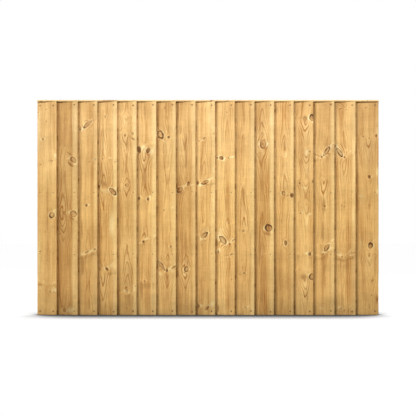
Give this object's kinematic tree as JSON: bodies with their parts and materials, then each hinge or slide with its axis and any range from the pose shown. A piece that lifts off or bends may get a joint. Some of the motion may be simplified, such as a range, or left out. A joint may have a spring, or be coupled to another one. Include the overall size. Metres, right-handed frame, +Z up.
{
  "type": "closeboard fence panel",
  "caption": "Closeboard timber fence panel: upright feather-edged boards, each lapped over the next and nailed to a framed back of rails and end stiles, under a flat capping strip.",
  "frame": {"origin": "middle of the panel's footprint, on the plane that its lower edge stands on", "axes": "+X along the panel to the right as seen from the boarded face, +Y from the boarded face to the framed back, +Z up"},
  "size_m": [1.828, 0.0458, 1.15],
  "materials": {
    "boards": "sawn, dip treated",
    "frame_timber": "sawn, dip treated",
    "galvanised_nails": "dull galvanised"
  },
  "bodies": {
    "root": {"board_01": "boards", "board_02": "boards", "board_03": "boards", "board_04": "boards", "board_05": "boards", "board_06": "boards", "board_07": "boards", "board_08": "boards", "board_09": "boards", "board_10": "boards", "board_11": "boards", "board_12": "boards", "board_13": "boards", "board_14": "boards", "board_15": "boards", "board_16": "boards", "board_17": "boards", "bottom_rail": "frame_timber", "lower_rail": "frame_timber", "upper_rail": "frame_timber", "top_rail": "frame_timber", "left_stile": "frame_timber", "right_stile": "frame_timber", "capping_strip": "frame_timber", "bottom_rail_nails": "galvanised_nails", "lower_rail_nails": "galvanised_nails", "upper_rail_nails": "galvanised_nails", "top_rail_nails": "galvanised_nails", "left_stile_nails": "galvanised_nails", "right_stile_nails": "galvanised_nails", "capping_nails": "galvanised_nails"}
  },
  "joints": []
}
